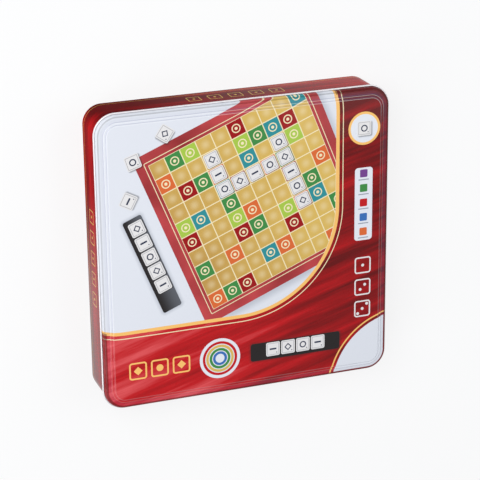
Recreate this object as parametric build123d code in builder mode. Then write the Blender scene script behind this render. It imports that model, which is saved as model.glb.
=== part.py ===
from build123d import *
from math import acos, degrees, sqrt
import os

os.makedirs("parts", exist_ok=True)

# A flat square game tin, millimetres. It lies on its base, lid up. The origin is the centre of the
# foot, +Y is the top edge of the lid's printed picture, and +X is its right edge.

# Tin
overall_width = 270.0        # over the lid's rolled lower edge
overall_height = 49.0        # from the foot to the raised lid panel
tinplate = 0.35              # sheet thickness
wall_corner_radius = 17.0    # outside of the base wall, seen from above
lid_clearance = 0.5          # between the lid skirt and the base wall, each side
lid_rest_gap = 0.2           # between the rim's curl and the inside of the lid's rounded edge

# Lid
lid_curl_diameter = 1.8      # the skirt's lower edge is rolled outwards
skirt_depth = 5.6            # from the top of the ledge down to the middle of the curl
lid_edge_radius = 3.0        # from the skirt over to the ledge, outside of the sheet
ledge_width = 5.0            # flat rim outside the embossed steps, edge radius included
step_rise = 0.7              # each of the two embossed steps
step_run = 0.9               # sloped length of a step, seen from above
step_tread = 1.6             # flat between the two steps
emboss_radius = 0.6          # rounding at each bend of the steps

# Base
rim_curl_diameter = 1.8      # the wall's upper edge is rolled inwards
base_edge_radius = 2.5       # from the wall to the foot, outside of the sheet
foot_width = 9.0             # flat ring that the tin stands on
foot_height = 1.0            # the panel inside the ring is raised by this
foot_run = 1.4               # sloped length of that step

# Rolled edges
curl_opening = 0.15          # slit left between the end of a curl and its wall
panel_overlap = 1.5          # flat stretch of a formed edge before the plain panel starts
panel_corner_radius = 1.5    # of the plain panel inside that stretch

# Insert tray, a vacuum-formed sheet with wells
tray_sheet = 0.8
tray_side_gap = 0.6          # between the tray and the rim curl, each side
tray_margin = 5.6            # deck left outside the rack channels
tray_rib = 5.0               # deck left between a channel and its neighbours
tray_corner_radius = 14.0
deck_edge_radius = 0.6       # where the deck turns down, at its rim and into the wells
well_corner_radius = 4.0
well_draft = 1.0             # degrees that every well opens towards the deck
finger_notch_radius = 11.0
finger_notch_depth = 14.0    # how far a notch reaches down beside the tiles

# Letter tiles
tile_size = 20.0
tile_thickness = 5.0
tile_corner_radius = 1.6
tile_edge_radius = 0.5
tile_play = 0.05             # air between the tiles of a stack
stacks_per_side = 5
tiles_per_stack = 4
stack_gap = 0.5              # between neighbouring stacks, and round the block
tile_headroom = 0.75         # between the top tiles and the floor of the mat recess

# Tile racks
rack_depth = 22.5
rack_height = 22.0
rack_wall = 2.0
rack_lip_height = 8.0
rack_slot_width = 6.6        # room for one tile's thickness behind the lip
rack_slot_floor = 2.6
rack_back_width = 2.4        # flat along the top of the sloping back
rack_edge_radius = 0.5
rack_side_gap = 0.75         # between a rack and the sides of its channel
rack_finger_room = 9.0       # free channel at each end of a rack
rack_headroom = 1.5          # between the top of a rack and the deck

# Folded play mat, four layers of cloth
mat_cloth = 2.3
mat_layers = 4
mat_layer_gap = 0.3
mat_side_gap = 1.2
mat_rest_gap = 0.3           # soft, so it lies clear of the recess floor
mat_headroom = 0.7
mat_corner_radius = 5.0

# Rules booklet
booklet_width = 148.0
booklet_length = 210.0
booklet_thickness = 1.6
booklet_spine_radius = 0.7
booklet_rest_gap = 0.3

# Places that follow from the sizes above
skirt_outside = overall_width / 2 - (lid_curl_diameter - tinplate)
wall_outside = skirt_outside - tinplate - lid_clearance
skirt_corner_radius = wall_corner_radius + skirt_outside - wall_outside
ledge_top = overall_height - 2 * step_rise
nest_radius = lid_edge_radius - tinplate - rim_curl_diameter / 2
rim_nesting = sqrt((nest_radius - lid_rest_gap) ** 2 - (nest_radius - lid_clearance) ** 2)
rim_curl_height = ledge_top - lid_edge_radius + rim_nesting
base_panel_top = foot_height + tinplate
rim_opening = wall_outside - rim_curl_diameter

tray_half = rim_opening - tray_side_gap
channel_width = rack_depth + 2 * rack_side_gap
channel_outer = tray_half - tray_margin
channel_inner = channel_outer - channel_width
recess_half = channel_inner - tray_rib
channel_length = channel_outer + recess_half
channel_middle = (recess_half - channel_outer) / 2

tile_floor = base_panel_top + tray_sheet
tile_pitch = tile_size + stack_gap
tile_well_half = (stacks_per_side * tile_pitch + stack_gap) / 2
layer_pitch = tile_thickness + tile_play
stack_height = tiles_per_stack * layer_pitch
recess_floor = tile_floor + stack_height + tile_headroom
mat_thickness = mat_layers * mat_cloth + (mat_layers - 1) * mat_layer_gap
mat_bottom = recess_floor + mat_rest_gap
mat_half = recess_half - mat_side_gap
deck_top = mat_bottom + mat_thickness + mat_headroom
rack_floor = deck_top - rack_headroom - rack_height
rack_length = channel_length - 2 * rack_finger_room
booklet_bottom = deck_top + booklet_rest_gap


def rounded_square_wire(half_width, corner_radius):
    """Rounded square on the ground plane, along which a formed edge runs."""
    with BuildSketch() as outline:
        RectangleRounded(2 * half_width, 2 * half_width, corner_radius)
    return outline.sketch.faces()[0].outer_wire()


def across(path):
    """Plane across the start of a path: x points out of the tin, y points up."""
    along = path % 0
    return Plane(origin=path @ 0, x_dir=along.cross(Vector(0, 0, 1)), z_dir=-along)


def turn_of_curl(curl_radius):
    """Degrees that an edge is rolled through before it comes back to its own wall."""
    return 360 - degrees(acos(1 - (tinplate + curl_opening) / curl_radius))


# Base: one drawn sheet with a raised panel and a rim rolled inwards
wall_middle = wall_outside - tinplate / 2
rim_curl_radius = (rim_curl_diameter - tinplate) / 2
foot_inset = base_edge_radius + foot_width
base_panel_half = wall_middle - foot_inset - foot_run - panel_overlap
base_path = rounded_square_wire(wall_middle, wall_corner_radius - tinplate / 2)

with BuildPart() as tin_base:
    with BuildSketch(across(base_path)):
        with BuildLine():
            FilletPolyline(
                (0, rim_curl_height),
                (0, tinplate / 2),
                (-foot_inset, tinplate / 2),
                (-foot_inset - foot_run, tinplate / 2 + foot_height),
                (-foot_inset - foot_run - panel_overlap, tinplate / 2 + foot_height),
                radius=[base_edge_radius - tinplate / 2, emboss_radius, emboss_radius],
            )
            CenterArc((-rim_curl_radius, rim_curl_height), rim_curl_radius, 0, turn_of_curl(rim_curl_radius))
        trace(line_width=tinplate)
    sweep(path=base_path)
    with BuildSketch(Plane.XY.offset(foot_height)):
        RectangleRounded(2 * base_panel_half, 2 * base_panel_half, panel_corner_radius)
    extrude(amount=tinplate)

tin_base.part.label = "tin_base"
export_step(tin_base.part, "parts/tin_base.step")


# Lid: skirt rolled outwards, rounded edge, ledge, two embossed steps and the flat panel
skirt_middle = skirt_outside - tinplate / 2
lid_curl_radius = (lid_curl_diameter - tinplate) / 2
lid_curl_height = ledge_top - skirt_depth
ledge_middle = ledge_top - tinplate / 2
first_step = ledge_width + step_run
second_step = first_step + step_tread + step_run
lid_panel_half = skirt_middle - second_step - panel_overlap
lid_path = rounded_square_wire(skirt_middle, skirt_corner_radius - tinplate / 2)

with BuildPart() as tin_lid:
    with BuildSketch(across(lid_path)):
        with BuildLine():
            FilletPolyline(
                (0, lid_curl_height),
                (0, ledge_middle),
                (-ledge_width, ledge_middle),
                (-first_step, ledge_middle + step_rise),
                (-first_step - step_tread, ledge_middle + step_rise),
                (-second_step, ledge_middle + 2 * step_rise),
                (-second_step - panel_overlap, ledge_middle + 2 * step_rise),
                radius=[lid_edge_radius - tinplate / 2] + 4 * [emboss_radius],
            )
            CenterArc((lid_curl_radius, lid_curl_height), lid_curl_radius, 180, turn_of_curl(lid_curl_radius))
        trace(line_width=tinplate)
    sweep(path=lid_path)
    with BuildSketch(Plane.XY.offset(overall_height - tinplate)):
        RectangleRounded(2 * lid_panel_half, 2 * lid_panel_half, panel_corner_radius)
    extrude(amount=tinplate)

tin_lid.part.label = "tin_lid"
export_step(tin_lid.part, "parts/tin_lid.step")


# Insert tray: four rack channels round a recess for the mat, which holds a square tile well
with BuildPart() as insert_tray:
    with BuildSketch(Plane.XY.offset(base_panel_top)):
        RectangleRounded(2 * tray_half, 2 * tray_half, tray_corner_radius)
    extrude(amount=deck_top - base_panel_top)
    with BuildSketch(Plane.XY.offset(base_panel_top)):
        inside_half = tray_half - tray_sheet
        RectangleRounded(2 * inside_half, 2 * inside_half, tray_corner_radius - tray_sheet)
    extrude(amount=deck_top - tray_sheet - base_panel_top, mode=Mode.SUBTRACT)
    # first the wells' outsides as solid plugs, then their insides cut out of the plugs
    for grow, mode in ((tray_sheet, Mode.ADD), (0, Mode.SUBTRACT)):
        for turn in range(4):
            with BuildSketch(Plane.XY.offset(rack_floor - grow).rotated((0, 0, 90 * turn))):
                with Locations((channel_middle, -channel_inner - channel_width / 2)):
                    RectangleRounded(
                        channel_length + 2 * grow, channel_width + 2 * grow, well_corner_radius + grow
                    )
            extrude(amount=deck_top - rack_floor + grow, taper=-well_draft, mode=mode)
        with BuildSketch(Plane.XY.offset(recess_floor - grow)):
            side = 2 * (recess_half + grow)
            RectangleRounded(side, side, well_corner_radius + grow)
        extrude(amount=deck_top - recess_floor + grow, taper=-well_draft, mode=mode)
        with BuildSketch(Plane.XY.offset(tile_floor - grow)):
            side = 2 * (tile_well_half + grow)
            RectangleRounded(side, side, tile_corner_radius + grow)
        extrude(amount=recess_floor - tile_floor + grow, taper=-well_draft, mode=mode)
        with BuildSketch(Plane.XY.offset(recess_floor - finger_notch_depth - grow)):
            with PolarLocations(tile_well_half, 4):
                Circle(finger_notch_radius + grow)
        extrude(amount=finger_notch_depth + grow, taper=-well_draft, mode=mode)
    fillet(insert_tray.edges().group_by(Axis.Z)[-1], deck_edge_radius)

insert_tray.part.label = "insert_tray"
export_step(insert_tray.part, "parts/insert_tray.step")


# Letter tiles: a block of stacks, all tiles face up
block_start = -(stacks_per_side - 1) * tile_pitch / 2
layers = [Plane.XY.offset(tile_floor + layer * layer_pitch) for layer in range(tiles_per_stack)]
for row in range(stacks_per_side):
    for column in range(stacks_per_side):
        with BuildPart() as tile_stack:
            with BuildSketch(*layers):
                with Locations((block_start + column * tile_pitch, -block_start - row * tile_pitch)):
                    RectangleRounded(tile_size, tile_size, tile_corner_radius)
            extrude(amount=tile_thickness)
            fillet(tile_stack.edges().filter_by(Axis.Z, reverse=True), tile_edge_radius)
        tile_stack.part.label = f"tile_stack_{row + 1}_{column + 1}"
        export_step(tile_stack.part, f"parts/{tile_stack.part.label}.step")


# Tile racks: a lip, a slot for the tiles' lower edges, and a sloping back, hollow underneath
def slope_at(height):
    """Distance of the sloping back from the rack's middle at a height, positive towards the lip."""
    foot = rack_depth / 2 - rack_wall - rack_slot_width
    top = rack_back_width - rack_depth / 2
    return foot + (top - foot) * (height - rack_slot_floor) / (rack_height - rack_slot_floor)


rack_rear = -rack_depth / 2
rack_front = rack_depth / 2
for turn in range(4):
    side = Plane.XY.rotated((0, 0, 90 * turn))
    rack_end = side.from_local_coords(
        Vector(channel_middle - rack_length / 2, -channel_inner - channel_width / 2, rack_floor)
    )
    rack_plane = Plane(origin=rack_end, x_dir=side.y_dir, z_dir=side.x_dir)
    with BuildPart() as tile_rack:
        with BuildSketch(rack_plane) as rack_section:
            with BuildLine():
                Polyline(
                    (rack_rear, 0),
                    (rack_front, 0),
                    (rack_front, rack_lip_height),
                    (rack_front - rack_wall, rack_lip_height),
                    (rack_front - rack_wall, rack_slot_floor),
                    (slope_at(rack_slot_floor), rack_slot_floor),
                    (slope_at(rack_height), rack_height),
                    (rack_rear, rack_height),
                    close=True,
                )
            make_face()
            fillet(rack_section.vertices(), rack_edge_radius)
        extrude(amount=rack_length)
        with BuildSketch(rack_plane.offset(rack_wall)):
            with BuildLine():
                Polyline(
                    (rack_rear, -2 * rack_wall),
                    (slope_at(-2 * rack_wall), -2 * rack_wall),
                    (slope_at(rack_height), rack_height),
                    (rack_rear, rack_height),
                    close=True,
                )
            make_face()
            offset(amount=-rack_wall, kind=Kind.INTERSECTION, mode=Mode.REPLACE)
        extrude(amount=rack_length - 2 * rack_wall, mode=Mode.SUBTRACT)
    tile_rack.part.label = f"tile_rack_{turn + 1}"
    export_step(tile_rack.part, f"parts/{tile_rack.part.label}.step")


# Play mat: cloth folded in quarters
with BuildPart() as play_mat:
    with BuildSketch(Plane.XY.offset(mat_bottom)):
        RectangleRounded(2 * mat_half, 2 * mat_half, mat_corner_radius)
    extrude(amount=mat_thickness)
    fillet(play_mat.edges().filter_by(Axis.Z, reverse=True), mat_cloth)

play_mat.part.label = "play_mat"
export_step(play_mat.part, "parts/play_mat.step")


# Rules booklet: stapled sheets with a rounded spine along the left side
with BuildPart() as rules_booklet:
    with BuildSketch(Plane.XY.offset(booklet_bottom)):
        Rectangle(booklet_width, booklet_length)
    extrude(amount=booklet_thickness)
    fillet(rules_booklet.edges().filter_by(Axis.Y).group_by(Axis.X)[0], booklet_spine_radius)

rules_booklet.part.label = "rules_booklet"
export_step(rules_booklet.part, "parts/rules_booklet.step")
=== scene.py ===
import bpy
import bmesh
import math
import random
from mathutils import Matrix, Vector


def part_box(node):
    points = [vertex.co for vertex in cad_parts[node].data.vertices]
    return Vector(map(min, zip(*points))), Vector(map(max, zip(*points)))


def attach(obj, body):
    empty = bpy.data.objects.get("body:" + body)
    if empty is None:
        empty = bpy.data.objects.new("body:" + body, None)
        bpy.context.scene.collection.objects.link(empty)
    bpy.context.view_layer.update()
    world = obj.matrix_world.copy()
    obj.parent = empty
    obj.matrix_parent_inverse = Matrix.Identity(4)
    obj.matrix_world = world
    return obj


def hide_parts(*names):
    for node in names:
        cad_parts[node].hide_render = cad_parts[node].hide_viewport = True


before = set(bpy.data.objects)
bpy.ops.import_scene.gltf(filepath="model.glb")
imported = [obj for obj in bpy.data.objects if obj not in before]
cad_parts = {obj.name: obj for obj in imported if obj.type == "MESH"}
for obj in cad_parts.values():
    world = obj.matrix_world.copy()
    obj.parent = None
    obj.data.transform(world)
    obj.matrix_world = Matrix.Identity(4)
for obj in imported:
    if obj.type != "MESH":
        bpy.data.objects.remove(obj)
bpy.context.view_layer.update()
mm = 0.001
print("frame loaded")


def inMm(box):
    return [corner / mm for corner in box]


def addObject(name, data):
    made = bpy.data.objects.new(name, data)
    bpy.context.collection.objects.link(made)
    return made


# Node graphs. A Wire is a socket that takes part in Python expressions.
class Wire:
    def __init__(self, graph, socket):
        self.graph = graph
        self.socket = socket

    def maths(self, operation, *others):
        return self.graph.node("ShaderNodeMath", {"operation": operation}, dict(enumerate((self,) + others)))

    def __add__(self, other):
        return self.maths("ADD", other)

    def __sub__(self, other):
        return self.maths("SUBTRACT", other)

    def __mul__(self, other):
        return self.maths("MULTIPLY", other)

    def __truediv__(self, other):
        return self.maths("DIVIDE", other)

    def __rsub__(self, other):
        return self.graph.node("ShaderNodeMath", {"operation": "SUBTRACT"}, {0: other, 1: self})

    def __abs__(self):
        return self.maths("ABSOLUTE")

    __radd__ = __add__
    __rmul__ = __mul__

    def atLeast(self, other):
        return self.maths("MAXIMUM", other)

    def atMost(self, other):
        return self.maths("MINIMUM", other)

    def below(self, other):
        return self.maths("LESS_THAN", other)

    def near(self, value, reach=0.5):
        return abs(self - value).below(reach)

    def wrap(self, size):
        return self.maths("FLOORED_MODULO", size)

    def fade(self, start, end):
        # 0 at start, 1 at end, in either direction
        return self.graph.node("ShaderNodeMapRange", {"interpolation_type": "SMOOTHSTEP"},
                               {"Value": self, "From Min": start, "From Max": end})


class Graph:
    def __init__(self, tree):
        self.tree = tree
        tree.nodes.clear()

    def node(self, kind, settings=None, inputs=None, output=0):
        made = self.tree.nodes.new(kind)
        for key, value in (settings or {}).items():
            if key == "stops":
                elements = made.color_ramp.elements
                while len(elements) < len(value):
                    elements.new(0.5)
                for element, (place, colour) in zip(elements, value):
                    element.position = place
                    element.color = (*colour, 1)
            else:
                setattr(made, key, value)
        for key, value in (inputs or {}).items():
            socket = made.inputs[key]
            if isinstance(value, Wire):
                self.tree.links.new(value.socket, socket)
            elif socket.type == "RGBA":
                socket.default_value = (*value, 1)
            else:
                socket.default_value = value
        return made if output is None else Wire(self, made.outputs[output])


class Look(Graph):
    # one material, with object coordinates in millimetres as x, y and z
    def __init__(self, name):
        self.material = bpy.data.materials.new(name)
        self.material.use_nodes = True
        super().__init__(self.material.node_tree)
        self.place = self.node("ShaderNodeTexCoord", output=3)
        self.x, self.y, self.z = self.split(self.place, 1000)

    def split(self, vector, scale):
        axes = self.node("ShaderNodeSeparateXYZ", inputs={0: vector}).socket.node
        return [Wire(self, axis) * scale for axis in axes.outputs]

    def mix(self, mask, low, high):
        return self.node("ShaderNodeMix", {"data_type": "RGBA"}, {0: mask, 6: low, 7: high}, output=2)

    def stamp(self, colour, mask):
        # lays a palette colour or another paint over this one where mask is 1
        over = palette[colour] if isinstance(colour, str) else colour
        self.paint = self.mix(mask, self.paint, over)

    def noise(self, scale, stretch=(1, 1, 1), turn=0, detail=3.0, rough=0.5):
        # cloudy noise whose features are drawn out by stretch, along axes turned by degrees about Z
        drawn = self.node("ShaderNodeMapping", {"vector_type": "TEXTURE"}, {
            "Vector": self.place, "Rotation": (0, 0, math.radians(turn)), "Scale": stretch})
        return self.node("ShaderNodeTexNoise", inputs={
            "Vector": drawn, "Scale": scale, "Detail": detail, "Roughness": rough})

    def box(self, x, y, shape):
        # millimetres outside a rounded rectangle: middle x, middle y, half width, half height, corner radius
        middleX, middleY, halfWidth, halfHeight, radius = shape
        overX = abs(x - middleX) - (halfWidth - radius)
        overY = abs(y - middleY) - (halfHeight - radius)
        return self.far(overX.atLeast(0), overY.atLeast(0)) + overX.atLeast(overY).atMost(0) - radius

    def far(self, x, y):
        return (x * x + y * y).maths("SQRT")

    def surface(self, bump=None, depth=0, **values):
        inputs = {"Base Color": self.paint}
        inputs.update((key.replace("_", " "), value) for key, value in values.items())
        if bump is not None:
            inputs["Normal"] = self.node("ShaderNodeBump", inputs={"Height": bump, "Distance": depth})
        shader = self.node("ShaderNodeBsdfPrincipled", inputs=inputs)
        self.node("ShaderNodeOutputMaterial", inputs={0: shader}, output=None)
        return self.material


def inside(distance, soft=0.12):
    return distance.fade(soft, -soft)


def line(distance, width):
    return inside(abs(distance) - width / 2)


def rgb(code):
    # linear values of a written sRGB colour
    parts = [int(code[at:at + 2], 16) / 255 for at in (0, 2, 4)]
    return tuple(part / 12.92 if part < 0.04045 else ((part + 0.055) / 1.055) ** 2.4 for part in parts)


# a sheet-metal shape is a section drawn as the sheet's middle line, run round a rounded square
def arcPoints(middle, radius, start, turn, steps):
    angles = [math.radians(start + turn * step / steps) for step in range(steps + 1)]
    return [Vector((middle[0] + radius * math.cos(a), middle[1] + radius * math.sin(a))) for a in angles]


def roundedLine(points, radii, steps=8):
    points = [Vector(point) for point in points]
    made = [points[0]]
    for before, corner, after, radius in zip(points, points[1:], points[2:], radii):
        back, ahead = (before - corner).normalized(), (after - corner).normalized()
        half = back.angle(ahead) / 2
        start = corner + back * radius / math.tan(half)
        end = corner + ahead * radius / math.tan(half)
        middle = corner + (back + ahead).normalized() * radius / math.sin(half)
        for step in range(steps + 1):
            spoke = (start - middle).slerp(end - middle, step / steps) * radius
            made.append(middle + spoke)
    return made + [points[-1]]


def offsetLine(points, amount):
    # the same line moved to its left by amount
    moved = []
    for index, point in enumerate(points):
        along = points[min(index + 1, len(points) - 1)] - points[max(index - 1, 0)]
        moved.append(point + Vector((-along.y, along.x)).normalized() * amount)
    return moved


def squareRing(out, height, halfWidth, cornerRadius, cornerSteps):
    # one loop of a rounded square, moved outwards by out
    ring = []
    for corner in range(4):
        for step in range(cornerSteps + 1):
            angle = math.radians(90 * (corner + step / cornerSteps))
            quarter = Matrix.Rotation(math.radians(90 * corner), 2)
            middle = quarter @ Vector((halfWidth - cornerRadius, halfWidth - cornerRadius))
            reach = cornerRadius + out
            x, y = middle.x + reach * math.cos(angle), middle.y + reach * math.sin(angle)
            ring.append(Vector((x, y, height)))
    return ring


def makeMesh(name, rings, closeStart, closeEnd, slots, materials):
    # skins loops of equal length; slots gives the material index of each band and of the end caps
    count = len(rings[0])
    points = [point * mm for ring in rings for point in ring]
    faces, indices = [], []
    for band in range(len(rings) - 1):
        for at in range(count):
            after = (at + 1) % count
            low, high = band * count, (band + 1) * count
            faces.append((low + at, low + after, high + after, high + at))
            indices.append(slots[band])
    if closeStart:
        faces.append(tuple(reversed(range(count))))
        indices.append(slots[0])
    if closeEnd:
        faces.append(tuple(range(len(points) - count, len(points))))
        indices.append(slots[-1])
    mesh = bpy.data.meshes.new(name)
    mesh.from_pydata(points, [], faces)
    for material in materials:
        mesh.materials.append(material)
    mesh.polygons.foreach_set("material_index", indices)
    mesh.polygons.foreach_set("use_smooth", [True] * len(faces))
    mesh.validate()
    mesh.update()
    return mesh


def addPiece(name, mesh, body, nodes=()):
    piece = addObject(name, mesh)
    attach(piece, body)
    if nodes:
        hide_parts(*nodes)
    return piece


def formedSheet(name, middleLine, thickness, halfWidth, cornerRadius, printed, materials):
    # a closed shell whose section runs from the rolled edge to the panel, with the outer side on its right;
    # a negative thickness puts the outer side on its left; materials are the print, the roll and the inside,
    # and the print covers the outer side above the first number and no further in than the second
    outer = offsetLine(middleLine, -thickness / 2)
    inner = offsetLine(middleLine, thickness / 2)
    section = outer[::-1] + inner
    rings = [squareRing(point.x, point.y, halfWidth, cornerRadius, tin["cornerSteps"]) for point in section]
    rolled = tin["curlSteps"]
    plain = len(outer) - 1 - rolled
    slots = [0 if point.y > printed[0] and -point.x < printed[1] else 2 for point in section[:plain]]
    slots += [1] * (2 * rolled + 1) + [2] * plain
    mesh = makeMesh(name, rings, True, True, slots, materials)
    if thickness > 0:
        mesh.flip_normals()
    return mesh


# sizes of the tin in millimetres, from the skirt or the wall inwards
tin = {
    "sheet": 0.35, "curl": 1.8, "curlSlit": 0.15, "stub": 1.5, "bend": 0.6,
    "cornerSteps": 20, "curlSteps": 18,
}
lidShape = {
    "skirt": 5.6, "edge": 3.0, "ledge": 5.0, "rise": 0.7, "run": 0.9, "tread": 1.6, "cornerRadius": 17.85,
    "printed": (0, 200),
}
baseShape = {
    "edge": 2.5, "foot": 9.0, "rise": 1.0, "run": 1.4, "cornerRadius": 17.0, "printed": (0.9, 2.5),
}

palette = {
    "paleTin": "e7e9ef", "deepRed": "640508", "red": "9c0a10", "brightRed": "c2141b", "lightRed": "e25659",
    "gold": "dcb860", "deepGold": "ae7c3e", "cream": "f6e6bb", "goldLine": "fcc46f", "leaf": "a9c84a",
    "forest": "3f8a45", "teal": "2f8f96", "orange": "dd6a35", "tile": "e9e6e4", "ink": "26304a",
    "black": "231f1f", "blue": "3b6fb4", "violet": "74428c", "grey": "9aa0ab", "cool": "6f7399",
    "white": "ffffff",
}
palette = {name: rgb(code) for name, code in palette.items()}

# streaks in the printed red: scales of the broad and the fine ones, the broad ones' share, and the reds
redStreaks = {
    "broad": 80, "fine": 270, "share": 0.62,
    "reds": ((0.24, "deepRed"), (0.42, "red"), (0.56, "brightRed"), (0.74, "lightRed")),
}

# the lid's print, in millimetres from the lid's middle: middle x, middle y, half width, half height, radius
lidPrint = {
    "paleField": (-61, 72, 145, 134, 92), "edgeLine": 3.2, "threadGap": 5, "threadLine": 0.8,
    "cornerDisc": (146, -146, 66), "cornerGap": 3.4, "cornerLine": 1.4, "cornerBorder": (2.2, 2.6),
    "tile": 6.6, "tileRadius": 1.6, "tileDrop": 0.9, "tileInset": 1.2, "valueAt": 3.6, "valueRadius": 0.5,
    "looseTiles": ((-103, 92, 18), (-74, 114, -35), (-108, 58, 62)),
    "ring": (2.6, 1.1), "bar": (0, 0, 3.2, 0.8, 0.3), "diamond": (2.9, 1.3),
}
boardPrint = {
    "at": (8, 46), "turn": 22, "across": 10, "edge": 11, "edgeRadius": 5, "fieldGap": 1.6,
    "shadow": (3, 4, 8), "threadGap": 3, "threadLine": 0.7,
    "cell": 15, "cellLine": 0.9, "ring": 3.6, "ringLine": 1, "dot": 1.4, "glow": (6, 0.35),
    "rack": (-107, -8, 9, 47, 2), "rackTiles": 5, "rackGap": 1.4,
}
bandPrint = {
    "frameRadius": 2, "bottomFrames": ((-104, -84, -64), -99, 7.4), "bottomLine": 1.5,
    "spot": 3.2, "diamond": 4,
    "disc": (-28, -99, 19), "discRings": ("brightRed", "gold", "forest", "blue"),
    "discInset": 4, "discPitch": 3.2, "discLine": 2.4,
    "bar": (44, -99, 43, 8.5, 2.5), "barTiles": 4, "barGap": 1.2,
    "medallion": (109, 98, 14), "medalLine": 2.2,
    "strip": (109, 28, 8.5, 34, 3), "stripColours": ("violet", "forest", "brightRed", "blue", "orange"),
    "patch": (1.4, 3.6, 1), "underline": (-4.4, 5, 0.5, 0.2),
    "sideFrames": (109, (-30, -51, -72), 7.2), "sideLine": 1.3, "pip": 1.4, "pipStep": 4.4,
}
# painted shade and highlight on the lid's edge and embossed steps: distances in from the skirt, and strengths
stepShade = {
    "ledge": (1.5, 3, 4.5, 5.5, 0.09), "foot": (0.3, 0.2), "crest": (0.25, 0.25),
    "onRed": 0.1, "moreOnPale": 0.2, "border": (2.8, 2.2, 0.65), "rim": (0.2, 0.6, 1.2, 1.9, 0.35),
}


def redBands(look, stretch, turn, darkening):
    # printed red with long bands of lighter and darker streaks
    share = redStreaks["share"]
    broad = look.noise(redStreaks["broad"], stretch, turn, detail=2)
    fine = look.noise(redStreaks["fine"], stretch, turn, detail=4, rough=0.6)
    stops = [(place, palette[colour]) for place, colour in redStreaks["reds"]]
    mixed = broad * share + fine * (1 - share) - darkening
    return look.node("ShaderNodeValToRGB", {"stops": stops}, {0: mixed})


def turned(x, y, place, degrees):
    # x and y measured from place, along axes turned by degrees
    c, s = math.cos(math.radians(degrees)), math.sin(math.radians(degrees))
    fromX, fromY = x - place[0], y - place[1]
    return fromX * c + fromY * s, fromY * c - fromX * s


def cellAt(along, size):
    # the number of the cell that a coordinate lies in, and its distance from the cell's middle
    return (along / size).maths("FLOOR"), along.wrap(size) - size / 2


def printTile(look, u, v, allowed, mark):
    # a pale tile with a soft shadow, an inner line and a plain mark instead of a letter
    half, radius, drop, at = (lidPrint[key] for key in ("tile", "tileRadius", "tileDrop", "valueAt"))
    shadow = look.box(u, v, (drop, -drop, half, half, radius)).fade(1.2, -0.8)
    face = look.box(u, v, (0, 0, half, half, radius))
    look.stamp("black", allowed * shadow * 0.6)
    value = inside(look.far(u - at, v + at) - lidPrint["valueRadius"])
    inner = line(face + lidPrint["tileInset"], 0.6) * 0.4
    pale = look.mix(inner + mark + value, palette["tile"], palette["ink"])
    look.stamp(pale, allowed * inside(face))


def ringMark(look, u, v):
    radius, width = lidPrint["ring"]
    return line(look.far(u, v) - radius, width)


def barMark(look, u, v):
    return inside(look.box(u, v, lidPrint["bar"]))


def diamondMark(look, u, v):
    reach, width = lidPrint["diamond"]
    return line(abs(u) + abs(v) - reach, width)


def tileMark(look, u, v, number):
    # one of three marks for a row of tiles
    ring, bar, diamond = (number.wrap(3).near(kind) * shape(look, u, v)
                          for kind, shape in enumerate((ringMark, barMark, diamondMark)))
    return ring + bar + diamond


def printCells(look, choices, u, v, board):
    # colours the chosen cells, each with a ring and a dot, and draws the lines between all cells
    marked = None
    for mask, colour in choices:
        look.stamp(colour, mask)
        marked = mask.atLeast(0 if marked is None else marked)
    reach = look.far(u, v)
    ring = line(reach - board["ring"], board["ringLine"])
    look.stamp("cream", marked * (ring + inside(reach - board["dot"])))
    if "glow" in board:
        radius, strength = board["glow"]
        look.stamp("cream", (1 - marked) * reach.fade(radius, 0) * strength)
    seam = abs(u).atLeast(abs(v)) - (board["cell"] - board["cellLine"]) / 2
    look.stamp("cream", inside(0 - seam))


def printBoard(look, field):
    # a square board of coloured cells with a red edge, lying askew on the pale field
    u, v = turned(look.x, look.y, boardPrint["at"], boardPrint["turn"])
    cell, radius, gap = (boardPrint[key] for key in ("cell", "edgeRadius", "threadGap"))
    half = cell * boardPrint["across"] / 2
    reach = half + boardPrint["edge"]
    clip = field + boardPrint["fieldGap"]
    outer = look.box(u, v, (0, 0, reach, reach, radius))
    right, down, shadowRadius = boardPrint["shadow"]
    shadow = look.box(u - right, v + down, (0, 0, reach, reach, shadowRadius)).atLeast(clip)
    look.stamp("grey", shadow.fade(5, -4) * 0.5)
    margin = look.mix(look.noise(30, detail=2), palette["deepRed"], palette["lightRed"])
    look.stamp(margin, inside(outer.atLeast(clip)))

    (column, inU), (row, inV) = cellAt(u, cell), cellAt(v, cell)
    shade = (look.x * -0.003 - look.y * 0.0024 + look.noise(12) * 0.6).fade(0, 0.8)
    paint, look.paint = look.paint, look.mix(shade, palette["gold"], palette["deepGold"])
    printCells(look, (
        ((column + row * 3).wrap(7).near(2), "leaf"),
        ((column * 2 + row).wrap(9).near(5), "forest"),
        ((column * 3 + row).wrap(8).near(4), "orange"),
        ((column - row * 2).wrap(11).near(7), "teal"),
        ((column * 3 - row).wrap(10).near(6), "red")), inU, inV, boardPrint)
    # three crossing rows of tiles
    laid = (row.near(1) * column.near(0, 2.6)).atLeast(column.near(2) * row.near(0, 2.6)).atLeast(
        column.near(-2) * row.near(2, 1.6))
    printTile(look, inU, inV, laid, tileMark(look, inU, inV, column * 2 + row))
    look.paint = look.mix(inside(look.box(u, v, (0, 0, half, half, 0.5)).atLeast(clip)), paint, look.paint)
    thread = look.box(u, v, (0, 0, half + gap, half + gap, 1)).atLeast(clip)
    look.stamp("cream", line(thread, boardPrint["threadLine"]))
    printRack(look, u, v)


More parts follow.
